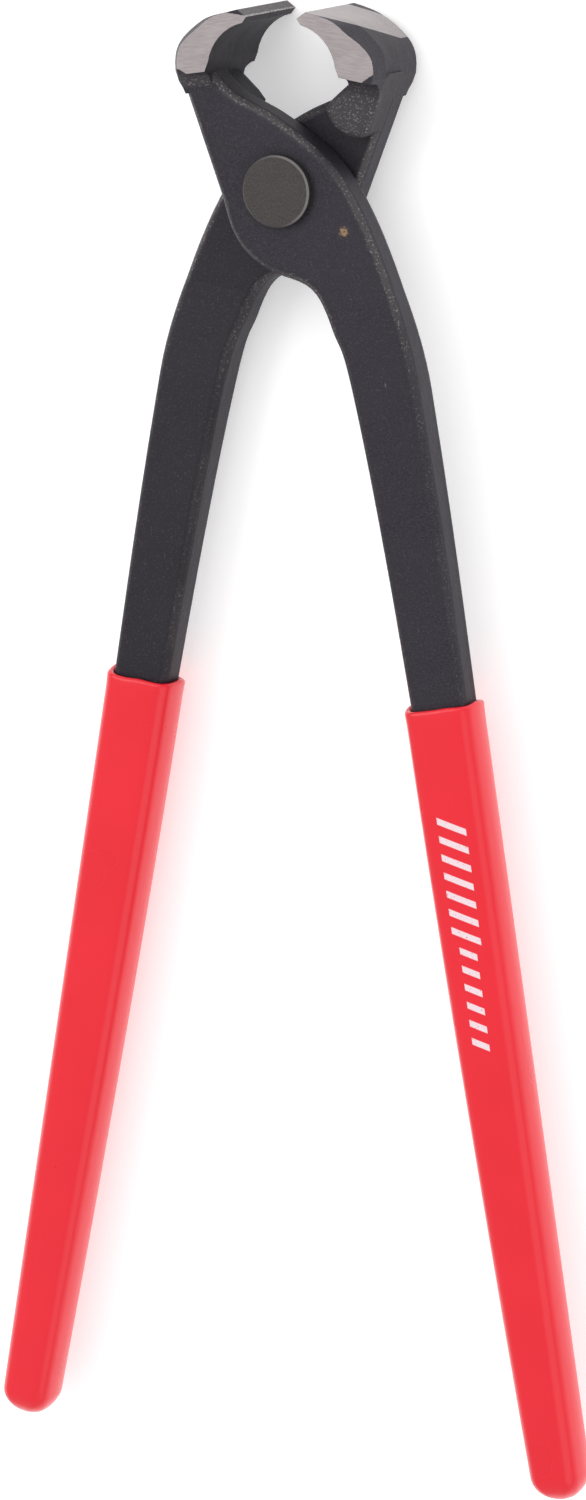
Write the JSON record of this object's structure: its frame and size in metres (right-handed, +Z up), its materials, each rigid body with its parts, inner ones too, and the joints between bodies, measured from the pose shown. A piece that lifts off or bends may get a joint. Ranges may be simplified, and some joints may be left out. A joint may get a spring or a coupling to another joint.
{
  "type": "end-nipper pincers",
  "caption": "Long-handled end-nipper pincers: forged levers on a rivet, wide nipping jaws, dipped sleeves over the arms.",
  "frame": {"origin": "middle of the rest pose's footprint, on the surface the tool lies on", "axes": "+Y towards the jaws along the tool, +Z up through the rivet, +X across the handles"},
  "size_m": [0.1204, 0.2738, 0.0222],
  "materials": {
    "forged_steel": "black phosphate on forged steel, ground bright on the jaws",
    "rivet_steel": "dark bronze-grey, fine grain, worn rim",
    "dipped_vinyl": "glossy red dipped coating"
  },
  "bodies": {
    "front": {"front_lever": "forged_steel", "rivet": "rivet_steel", "right_grip": "dipped_vinyl"},
    "rear": {"rear_lever": "forged_steel", "left_grip": "dipped_vinyl"}
  },
  "joints": [
    {"name": "jaw_pivot", "type": "hinge", "parent": "front", "child": "rear", "pos_m": [0, 0.10464, 0.0111], "axis": [0, 0, 1], "range_deg": [-46, 17.5]}
  ]
}
